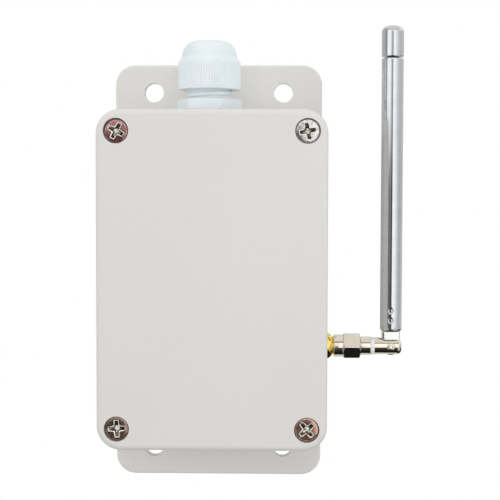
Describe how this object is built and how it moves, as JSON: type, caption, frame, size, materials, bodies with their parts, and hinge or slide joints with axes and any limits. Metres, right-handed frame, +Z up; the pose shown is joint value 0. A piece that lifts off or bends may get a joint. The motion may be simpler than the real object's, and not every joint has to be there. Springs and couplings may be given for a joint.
{
  "type": "remote control power switch",
  "caption": "Wall-mounted remote control power switch: grey plastic enclosure with mounting ears, lid screws, a cable gland on top and a folding telescopic antenna at the side.",
  "frame": {"origin": "centre of the enclosure's back face, which lies on the wall", "axes": "+Z up along the enclosure's height, towards the cable gland; +Y into the wall, so the lid faces -Y; +X towards the side that carries the antenna"},
  "size_m": [0.1009, 0.052, 0.158],
  "materials": {
    "enclosure_plastic": "satin moulded, warm light grey",
    "gasket_rubber": "matt moulded",
    "screw_nickel": "bright nickel plate",
    "gland_nylon": "satin moulded nylon, cool white",
    "seal_rubber": "matt moulded",
    "gold_plate": "bright gold plate",
    "white_insulator": "smooth white fluoropolymer",
    "nickel_plate": "bright nickel plate",
    "antenna_chrome": "polished chrome plate",
    "board_green": "solder mask with fine tracks",
    "relay_black": "matt moulded",
    "supply_black": "fine matt potting case",
    "film_yellow": "moulded",
    "sleeve_dark": "shrunk sleeve",
    "varistor_blue": "dipped coating",
    "fuse_glass": "clear",
    "steel_fittings": "tin plated",
    "terminal_green": "moulded",
    "clamp_brass": "plain",
    "chip_black": "moulded",
    "receiver_blue": "solder mask",
    "button_black": "moulded",
    "lamp_red": "diffusing",
    "lead_brown": "smooth jacket",
    "solder": "reflowed solder"
  },
  "bodies": {
    "root": {"base": "enclosure_plastic", "gland_body": "gland_nylon", "gland_washer": "seal_rubber", "gland_lock_nut": "gland_nylon", "jack_shell": "gold_plate", "jack_insulator": "white_insulator", "jack_contact": "gold_plate", "jack_lock_washer": "gold_plate", "jack_panel_nut": "gold_plate", "plug_body": "nickel_plate", "plug_pin": "gold_plate", "plug_insulator": "white_insulator", "circuit_board": "board_green", "board_screws": "steel_fittings", "terminal_block": "terminal_green", "terminal_clamps": "clamp_brass", "terminal_screws": "steel_fittings", "relay": "relay_black", "power_supply": "supply_black", "film_capacitor": "film_yellow", "bulk_capacitor": "sleeve_dark", "varistor": "varistor_blue", "varistor_leads": "steel_fittings", "fuse_glass": "fuse_glass", "fuse_caps": "steel_fittings", "fuse_base": "chip_black", "fuse_clips": "clamp_brass", "controller_chip": "chip_black", "controller_leads": "steel_fittings", "receiver_board": "receiver_blue", "receiver_pins": "steel_fittings", "receiver_crystal": "steel_fittings", "learn_button_housing": "button_black", "status_lamp": "lamp_red", "antenna_lead": "lead_brown", "antenna_lead_pad": "solder"},
    "lid": {"lid": "enclosure_plastic", "lid_gasket": "gasket_rubber", "lid_screws": "screw_nickel"},
    "gland_clamp": {"gland_clamp": "gland_nylon", "gland_seal": "seal_rubber"},
    "gland_nut": {"gland_dome_nut": "gland_nylon"},
    "coupling_nut": {"plug_coupling_nut": "nickel_plate"},
    "elbow": {"antenna_elbow": "nickel_plate", "antenna_rivet": "nickel_plate"},
    "mast": {"mast_foot": "nickel_plate", "mast_tube_1": "antenna_chrome"},
    "mast_2": {"mast_tube_2": "antenna_chrome"},
    "mast_3": {"mast_tube_3": "antenna_chrome"},
    "mast_4": {"mast_tube_4": "antenna_chrome"},
    "mast_5": {"mast_tube_5": "antenna_chrome"},
    "mast_tip": {"tip_rod": "antenna_chrome", "tip_cap": "antenna_chrome"},
    "learn_button": {"learn_button": "button_black"}
  },
  "joints": [
    {"name": "lid_lift", "type": "slide", "parent": "root", "child": "lid", "axis": [0, -1, 0], "range_m": [0, 0.06]},
    {"name": "gland_clamp_travel", "type": "slide", "parent": "root", "child": "gland_clamp", "axis": [0, 0, 1], "range_m": [-0.0026, 0.0026]},
    {"name": "gland_nut_turn", "type": "hinge", "parent": "gland_clamp", "child": "gland_nut", "pos_m": [-0.002, -0.028, 0.07], "axis": [0, 0, 1], "range_deg": [-440, 440]},
    {"name": "coupling_nut_turn", "type": "hinge", "parent": "root", "child": "coupling_nut", "pos_m": [0.045, -0.024, -0.024], "axis": [1, 0, 0], "continuous": true},
    {"name": "elbow_swivel", "type": "hinge", "parent": "root", "child": "elbow", "pos_m": [0.055, -0.024, -0.024], "axis": [1, 0, 0], "continuous": true},
    {"name": "antenna_fold", "type": "hinge", "parent": "elbow", "child": "mast", "pos_m": [0.05982, -0.024, -0.024], "axis": [0, 1, 0], "range_deg": [0, 180]},
    {"name": "mast_slide_1", "type": "slide", "parent": "mast", "child": "mast_2", "axis": [0, 0, 1], "range_m": [0, 0.0776]},
    {"name": "mast_slide_2", "type": "slide", "parent": "mast_2", "child": "mast_3", "axis": [0, 0, 1], "range_m": [0, 0.077]},
    {"name": "mast_slide_3", "type": "slide", "parent": "mast_3", "child": "mast_4", "axis": [0, 0, 1], "range_m": [0, 0.0765]},
    {"name": "mast_slide_4", "type": "slide", "parent": "mast_4", "child": "mast_5", "axis": [0, 0, 1], "range_m": [0, 0.0759]},
    {"name": "mast_slide_5", "type": "slide", "parent": "mast_5", "child": "mast_tip", "axis": [0, 0, 1], "range_m": [0, 0.0753]},
    {"name": "learn_button_press", "type": "slide", "parent": "root", "child": "learn_button", "axis": [0, 1, 0], "range_m": [0, 0.0003], "stiffness_N_per_m": 2000}
  ],
  "couplings": [
    {"joint": "gland_nut_turn", "follows": "gland_clamp_travel", "rad_per_m": 2856}
  ]
}
